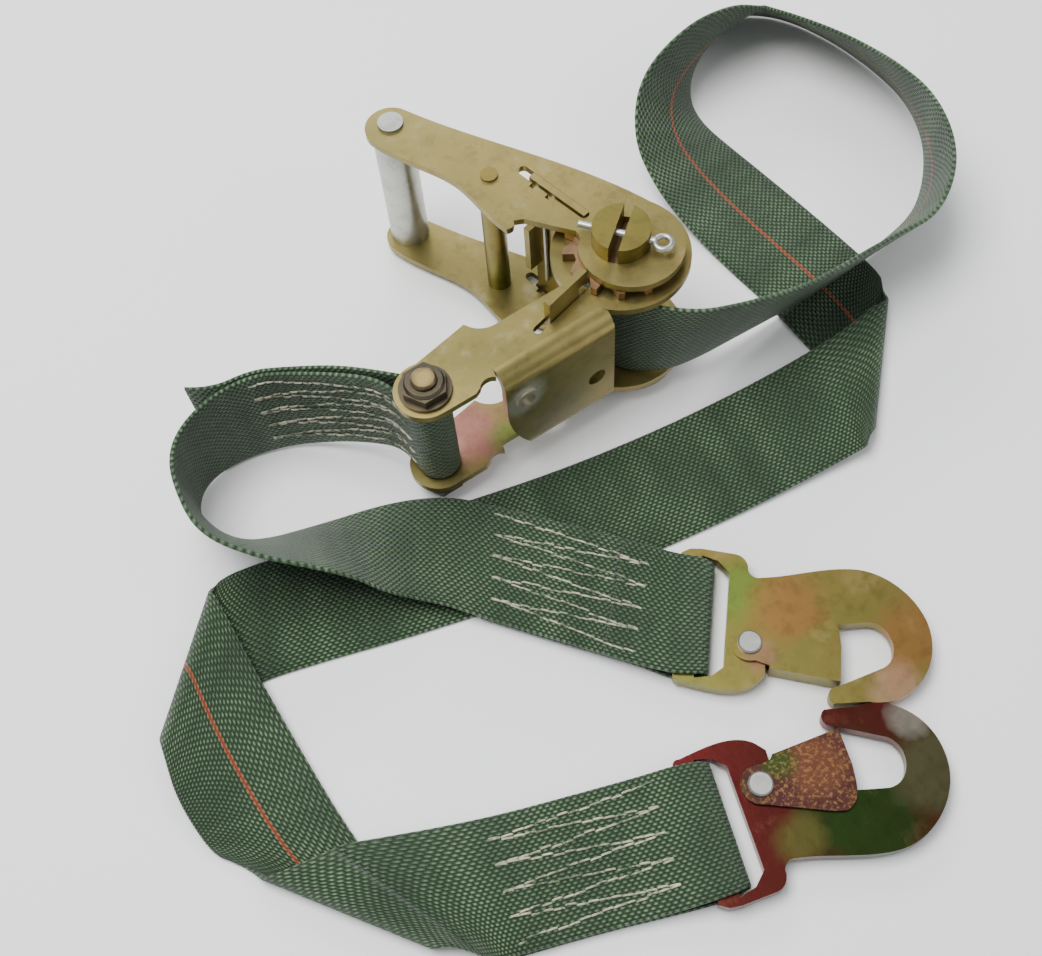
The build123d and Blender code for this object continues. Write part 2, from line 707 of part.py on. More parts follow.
# Each strap is a list of lines across the webbing, round the spindle's axis: the edge
# that stands on the surface, then the other edge. The lines fan out where it is folded.
SHORT_TAIL = [
    ((-167, 51, 1), (-168, 58, 51)),
    ((-159, 49.9, 1), (-160, 51.4, 51)),
    ((-141, 44.4, 1.5), (-143, 49.9, 51)),
    ((-125, 33.5, 5), (-131.5, 41, 54)),
    ((-110, 19.5, 10), (-115.5, 27, 58.5)),
    ((-101.5, 6.5, 14.6), (-103, 10, 64)),
]
SHORT_RUN = [
    ((-104.5, 5, 14.6), (-106, 8.5, 64)),
    ((-112, 17, 10), (-118, 24.5, 58.5)),
    ((-125, 30.5, 5), (-132, 38.5, 54)),
    ((-141, 42, 1.5), (-143, 47.5, 51)),
    ((-159, 47.5, 1), (-160, 49, 51)),
    ((-177, 47, 1), (-176, 44, 51)),
    ((-188, 37, 1), (-186, 35.5, 51)),
    ((-187.5, 24, 1), (-191, 23, 50.5)),
    ((-179.5, 13.5, 1), (-193.5, 2, 46.5)),
    ((-169, 7.5, 1), (-181, -17, 43)),
    ((-156, 3.5, 1), (-163, -32, 36)),
    ((-142, -0.5, 1), (-152, -40, 27)),
    ((-127, -5, 2.2), (-145, -47, 18)),
    ((-112, -12, 4), (-137, -53, 12)),
    ((-98.9, -21.2, 5.4), (-127, -61.5, 8)),
    ((-91, -30, 5.9), (-119.5, -71, 5.9)),
    ((-69, -57, 5.9), (-100, -97, 5.9)),
    ((-49.4, -82.3, 7.0), (-86.6, -115.7, 7.0)),
]
SHORT_END = [
    ((-45, -88, 3.6), (-80, -122, 2.6)),
    ((-69, -57, 3.5), (-100, -97, 3.5)),
    ((-90, -31, 3.5), (-118.5, -72, 3.5)),
]
LONG_RUN = [
    ((-13.5, -9.5, 14.9), (-13.5, -9.5, 64.9)),
    ((-9, -18, 14.9), (-9, -18.5, 64.9)),
    ((3, -27, 15.8), (9, -36.5, 63)),
    ((19.3, -27.2, 10.4), (28.5, -40.7, 57)),
    ((38, -26.5, 7), (46, -44, 53.5)),
    ((58.2, -26.2, 4.1), (63.2, -45.7, 49.7)),
    ((83.1, -26.3, 1.5), (86.3, -45.3, 47.8)),
    ((107.9, -25, 1), (108.4, -45.5, 46.6)),
    ((128, -23, 1), (128.5, -46.5, 45)),
    ((145, -20.5, 1), (148, -35, 48.7)),
    ((158, -14.5, 1), (160, -18, 50.8)),
    ((172.5, -2.5, 1), (167.5, 4, 50.4)),
    ((185, 13, 1), (169, 25, 47)),
    ((193.5, 35, 1), (169, 40, 43.5)),
    ((194.3, 58, 1), (165.5, 58, 41.5)),
    ((191, 85, 1), (159, 78, 39)),
    ((182, 111, 1), (152, 94, 37)),
    ((168, 126, 1), (152, 95, 36.5)),
    ((149.2, 129, 1), (152, 95, 37)),
    ((131, 121, 1), (150, 94.5, 38.5)),
    ((118.4, 108.7, 1), (133.6, 97.1, 47.3)),
    ((111, 96, 1), (107, 97, 50.5)),
    ((107.9, 86, 1), (77.7, 92.5, 40.5)),
    ((107.2, 76, 1), (62.8, 76.4, 24.6)),
    ((108.5, 62, 1), (60, 57, 13.5)),
    ((111, 40, 1), (61.4, 35, 5)),
    ((114.1, 7.8, 1), (64.1, 2.7, 1.1)),
    ((116, -18, 1), (66.5, -22, 1)),
    ((116.5, -31, 1), (66, -50, 1)),
    ((115.5, -37.5, 1.2), (63.5, -82, 1.2)),
    ((113.5, -41.5, 2), (60.5, -95, 2)),
    ((111.5, -45.5, 6), (56, -99.5, 6)),
    ((105, -49, 9.5), (52.5, -100.5, 9)),
    ((84, -52, 8.5), (51, -101, 7.5)),
    ((60, -51.5, 7), (49, -100.5, 6)),
    ((30, -48.5, 4.2), (23, -97.5, 3.2)),
    ((-8, -43, 1.6), (-15, -92.5, 1.4)),
    ((-50, -35.5, 1.1), (-60, -84.5, 1.1)),
    ((-90, -25.5, 1.1), (-102, -74, 1.1)),
    ((-130, -13.5, 1.1), (-144, -62, 1.1)),
    ((-165, -2.5, 1.1), (-181, -50, 1.1)),
    ((-186, 3, 1.1), (-204, -43.5, 1.1)),
    ((-194, 3.5, 1.2), (-230, -41, 1.2)),
    ((-197.5, 2, 2), (-240, -41, 2)),
    ((-200, -0.5, 5.5), (-244.5, -44, 5.5)),
    ((-199, -5, 8.5), (-245.5, -49, 8.5)),
    ((-200, -22, 7.5), (-247.5, -57, 7.5)),
    ((-201.5, -46, 6), (-249.5, -66, 6)),
    ((-202.5, -80, 4), (-250, -77, 4)),
    ((-203, -115, 2), (-249, -90, 2)),
    ((-199.5, -150, 1.2), (-246.5, -96, 1.2)),
    ((-195, -170, 2), (-245, -98.5, 2)),
    ((-193, -177, 5.5), (-244.5, -101.5, 5.5)),
    ((-188, -180.5, 8.5), (-240, -102.5, 8.5)),
    ((-186, -181.7, 6.8), (-205, -119, 7)),
    ((-180, -184.4, 4.4), (-161.5, -138, 4.4)),
    ((-148.7, -195, 3.8), (-130, -149, 3.8)),
    ((-125, -204.5, 6), (-106, -158, 6)),
]
LONG_END = [
    ((-125, -204.5, 1.2), (-106, -158, 1.2)),
    ((-148.7, -195, 1.2), (-130, -149, 1.2)),
    ((-178.5, -185, 1.2), (-160, -138.6, 1.2)),
]
BOLT_LOOP_R = 8.0
# along the hook, up, and the webbing's width, which is squeezed in the slot
BAR_LOOP = [
    (-30, 9.4, 50),
    (-20, 9.4, 49),
    (-16.2, 8.2, 47),
    (-15.2, 5.4, 47),
    (-16.2, 2.6, 47),
    (-20, 1.2, 49),
    (-26, 1.2, 50),
]


def bolt_loop():
    """Lines across the short strap where it runs round the anchor bolt's sleeve."""
    lines = []
    for turn in range(75, -196, -30):
        x = EAR[0] + BOLT_LOOP_R * cos(radians(turn))
        y = EAR[1] + BOLT_LOOP_R * sin(radians(turn))
        lines.append(((x, y, MIDDLE - WEBBING / 2), (x, y, MIDDLE + WEBBING / 2)))
    return lines


def bar_loop(hook, down_side):
    """Lines across a strap where it runs round a hook's bar."""
    plane = hook.plane(0)
    shift = Vector(*SPINDLE, 0)
    middle = hook.side * HOOK_WEBBING_Y
    lines = []
    for x, z, width in BAR_LOOP:
        down = plane.from_local_coords((x, middle + down_side * width / 2, z))
        up = plane.from_local_coords((x, middle - down_side * width / 2, z))
        lines.append((tuple(down - shift), tuple(up - shift)))
    return lines


def webbing(lines):
    """A strap's solid: a flat section on each cross line, and ruled faces between them."""
    shift = Vector(*SPINDLE, 0)
    middles = [(Vector(*down) + Vector(*up)) / 2 + shift for down, up in lines]
    run = sum((end - start).length for start, end in zip(middles, middles[1:]))
    sections = []
    for i, (down, up) in enumerate(lines):
        across = Vector(*up) - Vector(*down)
        along = middles[min(i + 1, len(lines) - 1)] - middles[max(i - 1, 0)]
        thick = across.cross(along).normalized() * (WEBBING_T / 2)
        half = across / 2
        middle = middles[i]
        sections.append(
            [middle - half - thick, middle + half - thick, middle + half + thick, middle - half + thick]
        )
    faces = [Face(Wire.make_polygon(sections[end])) for end in (0, -1)]
    for near, far in zip(sections, sections[1:]):
        for side in range(4):
            after = (side + 1) % 4
            near_edge = Edge.make_line(near[side], near[after])
            far_edge = Edge.make_line(far[side], far[after])
            faces.append(Face.make_surface_from_curves(near_edge, far_edge))
    with BuildPart() as strap:
        add(Solid(Shell(faces)))
    return strap, run


short_strap, short_length = webbing(
    SHORT_TAIL + bolt_loop() + SHORT_RUN + bar_loop(HOOKS["hook_1"], 1) + SHORT_END
)
save(short_strap, "short_strap")
long_strap, long_length = webbing(LONG_RUN + bar_loop(HOOKS["hook_2"], -1) + LONG_END)
save(long_strap, "long_strap")
print(f"short strap {short_length:.0f} mm, long strap {long_length:.0f} mm along the runs")
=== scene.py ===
"""Ratchet tie down: webbing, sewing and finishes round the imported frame."""

import json
import math
import random

import bpy
import bmesh
from mathutils import Matrix, Vector


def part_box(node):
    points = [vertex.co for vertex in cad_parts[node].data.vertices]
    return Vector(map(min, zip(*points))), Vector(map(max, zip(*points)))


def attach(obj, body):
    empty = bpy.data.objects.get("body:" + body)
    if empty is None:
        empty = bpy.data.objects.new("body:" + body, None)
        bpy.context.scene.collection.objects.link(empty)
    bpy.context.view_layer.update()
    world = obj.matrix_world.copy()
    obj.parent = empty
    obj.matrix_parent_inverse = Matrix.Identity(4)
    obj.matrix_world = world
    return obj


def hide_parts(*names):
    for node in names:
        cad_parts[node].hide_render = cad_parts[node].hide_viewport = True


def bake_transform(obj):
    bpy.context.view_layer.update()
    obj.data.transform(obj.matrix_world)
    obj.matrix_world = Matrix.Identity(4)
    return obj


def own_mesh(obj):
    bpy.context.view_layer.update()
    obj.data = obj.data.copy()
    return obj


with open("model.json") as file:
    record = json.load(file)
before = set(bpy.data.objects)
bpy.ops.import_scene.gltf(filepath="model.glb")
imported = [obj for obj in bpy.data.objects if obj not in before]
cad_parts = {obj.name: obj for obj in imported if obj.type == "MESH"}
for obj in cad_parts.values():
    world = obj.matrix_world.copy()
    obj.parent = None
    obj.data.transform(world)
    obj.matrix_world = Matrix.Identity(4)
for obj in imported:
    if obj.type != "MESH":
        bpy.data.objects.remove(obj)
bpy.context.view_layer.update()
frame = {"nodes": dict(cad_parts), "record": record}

MM = 0.001
WEBBING = 50 * MM  # its width
THICKNESS = 1.8 * MM
FOLD_LINE = 67.5 * MM  # the longest line across the webbing, where it is folded over

nodes = frame["nodes"]


def centre(node):
    """The middle of a CAD node's box at rest."""
    low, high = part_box(node)
    return (Vector(low) + Vector(high)) / 2


SPINDLE = centre("wound_webbing").to_2d().to_3d()
BOLT = centre("anchor_bolt").to_2d().to_3d()


def at(point):
    """A point given in millimetres round the spindle's foot, in metres in the row frame."""
    return SPINDLE + Vector(point) * MM


# --- camera ----------------------------------------------------------------------------

CAMERA_EYE = (-205.3, -272.3, 512.1)
CAMERA_TARGET = (-69.65, -27.6, 0)
CAMERA_ROLL = -5.72  # degrees
SENSOR_WIDTH = 36
FOCAL_LENGTH = 48.77


def make_camera():
    """A camera that looks down from over the near left corner, a little rolled."""
    eye = at(CAMERA_EYE)
    target = at(CAMERA_TARGET)
    data = bpy.data.cameras.new("camera")
    data.sensor_width = SENSOR_WIDTH
    data.lens = FOCAL_LENGTH
    data.clip_start = 0.01
    camera = bpy.data.objects.new("camera", data)
    look = (target - eye).to_track_quat("-Z", "Y").to_matrix().to_4x4()
    roll = Matrix.Rotation(math.radians(CAMERA_ROLL), 4, "Z")
    camera.matrix_world = Matrix.Translation(eye) @ look @ roll
    bpy.context.scene.collection.objects.link(camera)
    bpy.context.scene.camera = camera


make_camera()


# --- routes of the straps --------------------------------------------------------------

# Lines across the webbing, in millimetres round the spindle's foot: the edge that stands
# on the floor, then the other edge. They fan out where the webbing is folded.
SHORT_TAIL = [
    ((-167, 51, 1), (-168, 58, 51)),
    ((-159, 49.9, 1), (-160, 51.4, 51)),
    ((-141, 44.4, 1.5), (-143, 49.9, 51)),
    ((-125, 33.5, 5), (-131.5, 41, 54)),
    ((-110, 19.5, 10), (-115.5, 27, 58.5)),
    ((-101.5, 6.5, 14.6), (-103, 10, 64)),
]
SHORT_RUN = [
    ((-104.5, 5, 14.6), (-106, 8.5, 64)),
    ((-112, 17, 10), (-118, 24.5, 58.5)),
    ((-125, 30.5, 5), (-132, 38.5, 54)),
    ((-141, 42, 1.5), (-143, 47.5, 51)),
    ((-159, 47.5, 1), (-160, 49, 51)),
    ((-177, 47, 1), (-176, 44, 51)),
    ((-188, 37, 1), (-186, 35.5, 51)),
    ((-187.5, 24, 1), (-191, 23, 50.5)),
    ((-179.5, 13.5, 1), (-193.5, 2, 46.5)),
    ((-169, 7.5, 1), (-181, -17, 43)),
    ((-156, 3.5, 1), (-163, -32, 36)),
    ((-142, -0.5, 1), (-152, -40, 27)),
    ((-127, -5, 2.2), (-145, -47, 18)),
    ((-112, -12, 4), (-137, -53, 12)),
    ((-98.9, -21.2, 5.4), (-127, -61.5, 8)),
    ((-91, -30, 5.9), (-119.5, -71, 5.9)),
    ((-69, -57, 5.9), (-100, -97, 5.9)),
    ((-49.4, -82.3, 7.0), (-86.6, -115.7, 7.0)),
]
SHORT_END = [
    ((-45, -88, 3.6), (-80, -122, 2.6)),
    ((-69, -57, 3.5), (-100, -97, 3.5)),
    ((-90, -31, 3.5), (-118.5, -72, 3.5)),
]
LONG_RUN = [
    ((-13.5, -9.5, 14.9), (-13.5, -9.5, 64.9)),
    ((-9, -18, 14.9), (-9, -18.5, 64.9)),
    ((3, -27, 15.8), (9, -36.5, 63)),
    ((19.3, -27.2, 10.4), (28.5, -40.7, 57)),
    ((38, -26.5, 7), (46, -44, 53.5)),
    ((58.2, -26.2, 4.1), (63.2, -45.7, 49.7)),
    ((83.1, -26.3, 1.5), (86.3, -45.3, 47.8)),
    ((107.9, -25, 1), (108.4, -45.5, 46.6)),
    ((128, -23, 1), (128.5, -46.5, 45)),
    ((145, -20.5, 1), (148, -35, 48.7)),
    ((158, -14.5, 1), (160, -18, 50.8)),
    ((172.5, -2.5, 1), (167.5, 4, 50.4)),
    ((185, 13, 1), (169, 25, 47)),
    ((193.5, 35, 1), (169, 40, 43.5)),
    ((194.3, 58, 1), (165.5, 58, 41.5)),
    ((191, 85, 1), (159, 78, 39)),
    ((182, 111, 1), (152, 94, 37)),
    ((168, 126, 1), (152, 95, 36.5)),
    ((149.2, 129, 1), (152, 95, 37)),
    ((131, 121, 1), (150, 94.5, 38.5)),
    ((118.4, 108.7, 1), (133.6, 97.1, 47.3)),
    ((111, 96, 1), (107, 97, 50.5)),
    ((107.9, 86, 1), (77.7, 92.5, 40.5)),
    ((107.2, 76, 1), (62.8, 76.4, 24.6)),
    ((108.5, 62, 1), (60, 57, 13.5)),
    ((111, 40, 1), (61.4, 35, 5)),
    ((114.1, 7.8, 1), (64.1, 2.7, 1.1)),
    ((116, -18, 1), (66.5, -22, 1)),
    ((116.5, -31, 1), (66, -50, 1)),
    ((115.5, -37.5, 1.2), (63.5, -82, 1.2)),
    ((113.5, -41.5, 2), (60.5, -95, 2)),
    ((111.5, -45.5, 6), (56, -99.5, 6)),
    ((105, -49, 9.5), (52.5, -100.5, 9)),
    ((84, -52, 8.5), (51, -101, 7.5)),
    ((60, -51.5, 7), (49, -100.5, 6)),
    ((30, -48.5, 4.2), (23, -97.5, 3.2)),
    ((-8, -43, 1.6), (-15, -92.5, 1.4)),
    ((-50, -35.5, 1.1), (-60, -84.5, 1.1)),
    ((-90, -25.5, 1.1), (-102, -74, 1.1)),
    ((-130, -13.5, 1.1), (-144, -62, 1.1)),
    ((-165, -2.5, 1.1), (-181, -50, 1.1)),
    ((-186, 3, 1.1), (-204, -43.5, 1.1)),
    ((-194, 3.5, 1.2), (-230, -41, 1.2)),
    ((-197.5, 2, 2), (-240, -41, 2)),
    ((-200, -0.5, 5.5), (-244.5, -44, 5.5)),
    ((-199, -5, 8.5), (-245.5, -49, 8.5)),
    ((-200, -22, 7.5), (-247.5, -57, 7.5)),
    ((-201.5, -46, 6), (-249.5, -66, 6)),
    ((-202.5, -80, 4), (-250, -77, 4)),
    ((-203, -115, 2), (-249, -90, 2)),
    ((-199.5, -150, 1.2), (-246.5, -96, 1.2)),
    ((-195, -170, 2), (-245, -98.5, 2)),
    ((-193, -177, 5.5), (-244.5, -101.5, 5.5)),
    ((-188, -180.5, 8.5), (-240, -102.5, 8.5)),
    ((-186, -181.7, 6.8), (-205, -119, 7)),
    ((-180, -184.4, 4.4), (-161.5, -138, 4.4)),
    ((-148.7, -195, 3.8), (-130, -149, 3.8)),
    ((-125, -204.5, 6), (-106, -158, 6)),
]
LONG_END = [
    ((-125, -204.5, 1.2), (-106, -158, 1.2)),
    ((-148.7, -195, 1.2), (-130, -149, 1.2)),
    ((-178.5, -185, 1.2), (-160, -138.6, 1.2)),
]

# Where the short strap runs round the anchor bolt's sleeve: degrees round the bolt, and
# the heights of the webbing's two edges.
BOLT_LOOP_R = 8.0
BOLT_LOOP_TURNS = range(75, -196, -30)
BOLT_LOOP_EDGES = (14.9, 64.9)

# Where a strap runs round a hook's bar: along the hook from its rivet, up, and the
# webbing's width, which is squeezed in the slot.
BAR_LOOP = [
    (-30, 9.4, 50),
    (-20, 9.4, 49),
    (-16.2, 8.2, 47),
    (-15.2, 5.4, 47),
    (-16.2, 2.6, 47),
    (-20, 1.2, 49),
    (-26, 1.2, 50),
]
HOOK_WEBBING_Y = 9.7  # from the rivet to the middle of the webbing

# Which way each hook lies, in degrees, and its hand: 1 or -1 for the side of its rivet
# that the middle of the webbing is on.
HOOKS = {"hook_1": (-40.9, 1), "hook_2": (-18.9, -1)}

STEPS = 8  # samples of a route for each of its control lines
SEWN_LINES = 3  # the last control lines of the long strap's run, past its last fold


def bolt_loop():
    """Lines across the short strap where it runs round the anchor bolt's sleeve."""
    middle = BOLT - SPINDLE
    low, high = BOLT_LOOP_EDGES
    lines = []
    for turn in BOLT_LOOP_TURNS:
        x = middle.x / MM + BOLT_LOOP_R * math.cos(math.radians(turn))
        y = middle.y / MM + BOLT_LOOP_R * math.sin(math.radians(turn))
        lines.append(((x, y, low), (x, y, high)))
    return lines


def bar_loop(name):
    """Lines across a strap where it runs round a hook's bar."""
    turn, side = HOOKS[name]
    rivet = (centre(f"{name}_rivet").to_2d().to_3d() - SPINDLE) / MM
    spin = Matrix.Rotation(math.radians(turn), 3, "Z")
    lines = []
    for x, z, width in BAR_LOOP:
        middle = side * HOOK_WEBBING_Y
        down = rivet + spin @ Vector((x, middle + side * width / 2, z))
        up = rivet + spin @ Vector((x, middle - side * width / 2, z))
        lines.append((down, up))
    return lines


def cut_after(lines):
    """The sample where a route goes on from these control lines to the next."""
    return (len(lines) - 1) * STEPS


def nurbs(points):
    """Points along the smooth curve that a row of control points steers."""
    data = bpy.data.curves.new("route", "CURVE")
    data.dimensions = "3D"
    data.resolution_u = STEPS
    spline = data.splines.new("NURBS")
    spline.points.add(len(points) - 1)
    for knot, point in zip(spline.points, points):
        knot.co = (*point, 1)
    spline.order_u = 3
    spline.use_endpoint_u = True
    route = bpy.data.objects.new("route", data)
    mesh = bpy.data.meshes.new_from_object(route)
    line = [vertex.co.copy() for vertex in mesh.vertices]
    bpy.data.objects.remove(route)
    bpy.data.curves.remove(data)
    bpy.data.meshes.remove(mesh)
    return line


class Ribbon:
    """A whole strap: its middle line, its two edges, and where a place on it lies."""

    def __init__(self, lines):
        self.down = nurbs([at(down) for down, _ in lines])
        self.up = nurbs([at(up) for _, up in lines])
        self.middle = nurbs([(at(down) + at(up)) / 2 for down, up in lines])
        count = len(self.middle)
        for i, middle in enumerate(self.middle):
            over = (self.up[i] - self.down[i]).length / FOLD_LINE
            if over > 1:
                self.up[i] = middle + (self.up[i] - middle) / over
                self.down[i] = middle + (self.down[i] - middle) / over
        self.normal = []
        self.reach = [0.0]
        for i in range(count):
            along = self.middle[min(i + 1, count - 1)] - self.middle[max(i - 1, 0)]
            across = self.up[i] - self.down[i]
            self.normal.append(across.cross(along).normalized())
            if i:
                self.reach.append(self.reach[-1] + (self.middle[i] - self.middle[i - 1]).length)
        self.length = self.reach[-1]

    def place(self, along, across, lift=0.0):
        """The point so far along, across from the middle towards the up edge, and lifted."""
        i = 0
        while i < len(self.reach) - 2 and self.reach[i + 1] < along:
            i += 1
        span = self.reach[i + 1] - self.reach[i]
        part = min(max((along - self.reach[i]) / span, 0), 1) if span else 0
        down = self.down[i].lerp(self.down[i + 1], part)
        up = self.up[i].lerp(self.up[i + 1], part)
        normal = self.normal[i].lerp(self.normal[i + 1], part).normalized()
        return down.lerp(up, 0.5 + across / WEBBING) + normal * lift


# --- bands of webbing --------------------------------------------------------------------

SPANS_ACROSS = 20
SELVEDGE_IN = 0.15 * THICKNESS
SELVEDGE_HALF = 0.28 * THICKNESS
FACE_FROM = 0.4 * THICKNESS  # what lies higher than this is the face, which has the stripe


def band_section():
    """The webbing's section, going round: place across, and place through."""
    half = WEBBING / 2
    flat = half - THICKNESS / 2
    section = []
    for side in (1, -1):
        for i in range(SPANS_ACROSS + 1):
            across = -flat + 2 * flat * i / SPANS_ACROSS
            section.append((side * across, side * THICKNESS / 2))
        section.append((side * (half - SELVEDGE_IN), side * SELVEDGE_HALF))
        section.append((side * (half - SELVEDGE_IN), -side * SELVEDGE_HALF))
    return section


def add_object(name, mesh, materials):
    """A new object in the scene, with this mesh and these materials."""
    piece = bpy.data.objects.new(name, mesh)
    for material in materials:
        mesh.materials.append(material)
    bpy.context.scene.collection.objects.link(piece)
    return piece


def make_band(name, ribbon, first, last, stripe):
    """A length of a strap. Its UV map holds metres along and across.

    Its face is marked if it shows the stripe.
    """
    section = band_section()
    count = len(section)
    bm = bmesh.new()
    weave = bm.loops.layers.uv.new("weave")
    striped = bm.verts.layers.float.new("striped")
    rings = []
    for i in range(first, last + 1):
        across = (ribbon.up[i] - ribbon.down[i]) / WEBBING
        middle = (ribbon.up[i] + ribbon.down[i]) / 2
        ring = []
        for place, through in section:
            vertex = bm.verts.new(middle + across * place + ribbon.normal[i] * through)
            vertex[striped] = 1.0 if through > FACE_FROM and stripe else 0.0
            ring.append(vertex)
        rings.append(ring)
    for i in range(len(rings) - 1):
        for j in range(count):
            k = (j + 1) % count
            quad = (rings[i][j], rings[i][k], rings[i + 1][k], rings[i + 1][j])
            face = bm.faces.new(quad)
            face.smooth = True
            corners = ((i, j), (i, k), (i + 1, k), (i + 1, j))
            for loop, (row, column) in zip(face.loops, corners):
                loop[weave].uv = (ribbon.reach[first + row], section[column][0])
    bm.faces.new(rings[0])
    bm.faces.new(list(reversed(rings[-1])))
    bmesh.ops.recalc_face_normals(bm, faces=bm.faces)
    mesh = bpy.data.meshes.new(name)
    bm.to_mesh(mesh)
    bm.free()
    band = add_object(name, mesh, [WEBBING_FABRIC])
    return band


# --- node helpers ----------------------------------------------------------------------

MIX_INPUTS = (0, 6, 7)  # a colour mix node's factor, first colour and second colour
MIX_OUTPUT = 2


class Nodes:
    """A material under construction. What its methods give back can be linked further."""

    def __init__(self, name):
        self.material = bpy.data.materials.new(name)
        self.material.use_nodes = True
        self.tree = self.material.node_tree
        self.shader = self.tree.nodes["Principled BSDF"]

    def add(self, kind, **settings):
        """A new node with these settings."""
        node = self.tree.nodes.new(kind)
        for key, value in settings.items():
            setattr(node, key, value)
        return node

    def link(self, source, target):
        self.tree.links.new(source, target)

    def math(self, operation, a, b=None):
        """A sum with one or two values, each a number or a socket."""
        node = self.add("ShaderNodeMath", operation=operation)
        for socket, value in zip(node.inputs, (a, b)):
            if value is None:
                continue
            if isinstance(value, (int, float)):
                socket.default_value = value
            else:
                self.link(value, socket)
        return node.outputs[0]

    def noise(self, vector, scale, detail=3.0, rough=0.5):
        """Clouds between 0 and 1."""
        node = self.add("ShaderNodeTexNoise")
        node.inputs["Scale"].default_value = scale
        node.inputs["Detail"].default_value = detail
        node.inputs["Roughness"].default_value = rough
        self.link(vector, node.inputs["Vector"])
        return node.outputs["Fac"]

    def ramp(self, factor, *stops):
        """A colour that goes by a factor, through stops of a place and a colour."""
        node = self.add("ShaderNodeValToRGB")
        ramp = node.color_ramp
        while len(ramp.elements) < len(stops):
            ramp.elements.new(0.5)
        for element, (place, colour) in zip(ramp.elements, stops):
            element.position = place
            element.color = (*colour, 1)
        self.link(factor, node.inputs["Fac"])
        return node.outputs["Color"]

    def mix(self, factor, a, b, blend="MIX"):
        """Colour b over colour a, by a factor; each is a value or a socket."""
        node = self.add("ShaderNodeMix", data_type="RGBA", blend_type=blend)
        for index, value in zip(MIX_INPUTS, (factor, a, b)):
            socket = node.inputs[index]
            if isinstance(value, (int, float)):
                socket.default_value = value
            elif isinstance(value, tuple):
                socket.default_value = (*value, 1)
            else:
                self.link(value, socket)
        return node.outputs[MIX_OUTPUT]

    def bump(self, height, distance, strength=1.0):
        """Relief on the whole surface."""
        node = self.add("ShaderNodeBump")
        node.inputs["Strength"].default_value = strength
        node.inputs["Distance"].default_value = distance
        self.link(height, node.inputs["Height"])
        self.link(node.outputs["Normal"], self.shader.inputs["Normal"])


def grey(value):
    """A colour of equal parts."""
    return (value, value, value)


# --- materials -------------------------------------------------------------------------

BLACK = grey(0)
WHITE = grey(1)
ROW = 1.4 * MM  # the weave's rows lie side by side across the webbing
ROW_OFFSET = 100  # keeps the rows' numbers positive
PICK = 2.6 * MM  # the length of a pick along its row
STRIPE = 1.5 * MM  # its width
STRIPE_DRIFT = 0.6 * MM  # how far it wanders, from one extreme to the other
STRIPE_COLOUR = (0.34, 0.060, 0.018)
CLOUD_SCALE = 14  # of the noise that mixes a finish's tones
GRIME = 0.35  # how strongly stains darken it
PATCH_HEIGHT = 8.0  # the hooks' patches, in millimetres over the floor


def round_spindle(made):
    """How far round the spindle's turns of webbing, and how high up them."""
    place = made.add("ShaderNodeTexCoord").outputs["Object"]
    apart = made.add("ShaderNodeVectorMath", operation="SUBTRACT")
    made.link(place, apart.inputs[0])
    apart.inputs[1].default_value = SPINDLE
    parts = made.add("ShaderNodeSeparateXYZ")
    made.link(apart.outputs[0], parts.inputs[0])
    turn = made.math("ARCTAN2", parts.outputs["Y"], parts.outputs["X"])
    low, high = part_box("wound_webbing")
    return made.math("MULTIPLY", turn, (high.x - low.x) / 2), parts.outputs["Z"]


